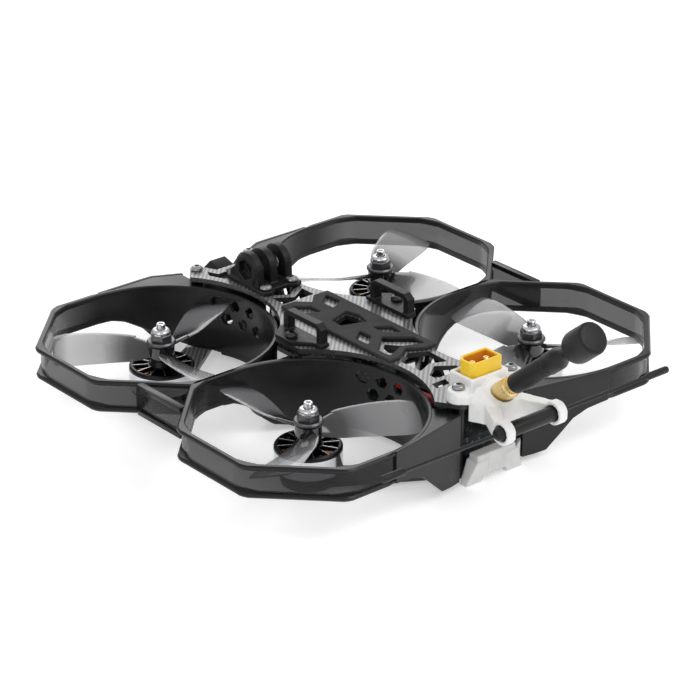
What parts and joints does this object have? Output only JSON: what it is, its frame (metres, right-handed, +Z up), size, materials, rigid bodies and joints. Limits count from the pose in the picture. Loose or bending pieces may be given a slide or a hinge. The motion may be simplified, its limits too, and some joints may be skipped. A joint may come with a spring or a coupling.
{
  "type": "ducted racing drone",
  "caption": "Small ducted quadcopter with carbon plates, smoked propeller guards, tilting nose camera, action camera clevis, rear battery connector and antennas.",
  "frame": {"origin": "centre of the bottom carbon plate's underside, midway between the four motors", "axes": "+X to the drone's left side, +Y to its tail, +Z up"},
  "size_m": [0.2148, 0.2392, 0.0825],
  "materials": {
    "action_camera_mount": "satin black moulding",
    "antenna_socket": "gold plated",
    "battery_connector": "yellow nylon",
    "battery_lead_black": "silicone insulation",
    "battery_lead_red": "silicone insulation",
    "battery_pad": "soft grip rubber",
    "bottom_plate": "twill weave carbon fibre sheet, satin",
    "bracket_screw_left": "bright steel",
    "bracket_screw_right": "bright steel",
    "camera_lens": "coated lens",
    "camera_pivot_screw_left": "bright steel",
    "camera_pivot_screw_right": "bright steel",
    "camera_plate_left": "carbon fibre sheet, satin",
    "camera_plate_right": "carbon fibre sheet, satin",
    "connector_pin_left": "gold plated",
    "connector_pin_right": "gold plated",
    "corner_screw_front_left": "bright steel",
    "corner_screw_front_right": "bright steel",
    "corner_screw_rear_left": "bright steel",
    "corner_screw_rear_right": "bright steel",
    "flight_controller": "black solder mask",
    "fpv_camera": "satin black moulding",
    "left_duct": "smoked polycarbonate, glossy",
    "motor_bell_front_left": "black anodised cap over polished steel skirt",
    "motor_bell_front_right": "black anodised cap over polished steel skirt",
    "motor_bell_rear_left": "black anodised cap over polished steel skirt",
    "motor_bell_rear_right": "black anodised cap over polished steel skirt",
    "mount_screw_left": "bright steel",
    "mount_screw_right": "bright steel",
    "prop_nut_front_left": "bright steel",
    "prop_nut_front_right": "bright steel",
    "prop_nut_rear_left": "bright steel",
    "prop_nut_rear_right": "bright steel",
    "propeller_front_left": "smoked polycarbonate, glossy",
    "propeller_front_right": "smoked polycarbonate, glossy",
    "propeller_rear_left": "smoked polycarbonate, glossy",
    "propeller_rear_right": "smoked polycarbonate, glossy",
    "rear_foot_bracket": "flexible white print",
    "rear_mount": "flexible white print",
    "receiver_antenna": "satin black sleeve",
    "right_duct": "smoked polycarbonate, glossy",
    "speed_controller": "black solder mask",
    "stack_post_front_left": "black anodised",
    "stack_post_front_right": "black anodised",
    "stack_post_rear_left": "black anodised",
    "stack_post_rear_right": "black anodised",
    "standoff_front_left": "black anodised",
    "standoff_front_right": "black anodised",
    "standoff_rear_left": "black anodised",
    "standoff_rear_right": "black anodised",
    "stator_front_left": "copper windings on a black base",
    "stator_front_right": "copper windings on a black base",
    "stator_rear_left": "copper windings on a black base",
    "stator_rear_right": "copper windings on a black base",
    "strap_bracket_left": "satin black moulding",
    "strap_bracket_right": "satin black moulding",
    "top_plate": "twill weave carbon fibre sheet, satin",
    "video_antenna": "satin black sleeve",
    "video_transmitter": "black solder mask"
  },
  "bodies": {
    "airframe": {"action_camera_mount": "action_camera_mount", "antenna_socket": "antenna_socket", "battery_connector": "battery_connector", "battery_lead_black": "battery_lead_black", "battery_lead_red": "battery_lead_red", "battery_pad": "battery_pad", "bottom_plate": "bottom_plate", "bracket_screw_left": "bracket_screw_left", "bracket_screw_right": "bracket_screw_right", "camera_plate_left": "camera_plate_left", "camera_plate_right": "camera_plate_right", "connector_pin_left": "connector_pin_left", "connector_pin_right": "connector_pin_right", "corner_screw_front_left": "corner_screw_front_left", "corner_screw_front_right": "corner_screw_front_right", "corner_screw_rear_left": "corner_screw_rear_left", "corner_screw_rear_right": "corner_screw_rear_right", "flight_controller": "flight_controller", "left_duct": "left_duct", "mount_screw_left": "mount_screw_left", "mount_screw_right": "mount_screw_right", "rear_foot_bracket": "rear_foot_bracket", "rear_mount": "rear_mount", "receiver_antenna": "receiver_antenna", "right_duct": "right_duct", "speed_controller": "speed_controller", "stack_post_front_left": "stack_post_front_left", "stack_post_front_right": "stack_post_front_right", "stack_post_rear_left": "stack_post_rear_left", "stack_post_rear_right": "stack_post_rear_right", "standoff_front_left": "standoff_front_left", "standoff_front_right": "standoff_front_right", "standoff_rear_left": "standoff_rear_left", "standoff_rear_right": "standoff_rear_right", "stator_front_left": "stator_front_left", "stator_front_right": "stator_front_right", "stator_rear_left": "stator_rear_left", "stator_rear_right": "stator_rear_right", "strap_bracket_left": "strap_bracket_left", "strap_bracket_right": "strap_bracket_right", "top_plate": "top_plate", "video_antenna": "video_antenna", "video_transmitter": "video_transmitter"},
    "camera": {"fpv_camera": "fpv_camera", "camera_lens": "camera_lens", "camera_pivot_screw_left": "camera_pivot_screw_left", "camera_pivot_screw_right": "camera_pivot_screw_right"},
    "rotor_front_left": {"motor_bell_front_left": "motor_bell_front_left", "propeller_front_left": "propeller_front_left", "prop_nut_front_left": "prop_nut_front_left"},
    "rotor_front_right": {"motor_bell_front_right": "motor_bell_front_right", "propeller_front_right": "propeller_front_right", "prop_nut_front_right": "prop_nut_front_right"},
    "rotor_rear_left": {"motor_bell_rear_left": "motor_bell_rear_left", "propeller_rear_left": "propeller_rear_left", "prop_nut_rear_left": "prop_nut_rear_left"},
    "rotor_rear_right": {"motor_bell_rear_right": "motor_bell_rear_right", "propeller_rear_right": "propeller_rear_right", "prop_nut_rear_right": "prop_nut_rear_right"}
  },
  "joints": [
    {"name": "front_left_rotor_spin", "type": "hinge", "parent": "airframe", "child": "rotor_front_left", "pos_m": [0.059, -0.047, 0.02], "axis": [0, 0, 1], "continuous": true},
    {"name": "front_right_rotor_spin", "type": "hinge", "parent": "airframe", "child": "rotor_front_right", "pos_m": [-0.059, -0.047, 0.02], "axis": [0, 0, 1], "continuous": true},
    {"name": "rear_left_rotor_spin", "type": "hinge", "parent": "airframe", "child": "rotor_rear_left", "pos_m": [0.059, 0.047, 0.02], "axis": [0, 0, 1], "continuous": true},
    {"name": "rear_right_rotor_spin", "type": "hinge", "parent": "airframe", "child": "rotor_rear_right", "pos_m": [-0.059, 0.047, 0.02], "axis": [0, 0, 1], "continuous": true},
    {"name": "camera_tilt", "type": "hinge", "parent": "airframe", "child": "camera", "pos_m": [0, -0.076, 0.02], "axis": [1, 0, 0], "range_deg": [-8, 20]}
  ]
}
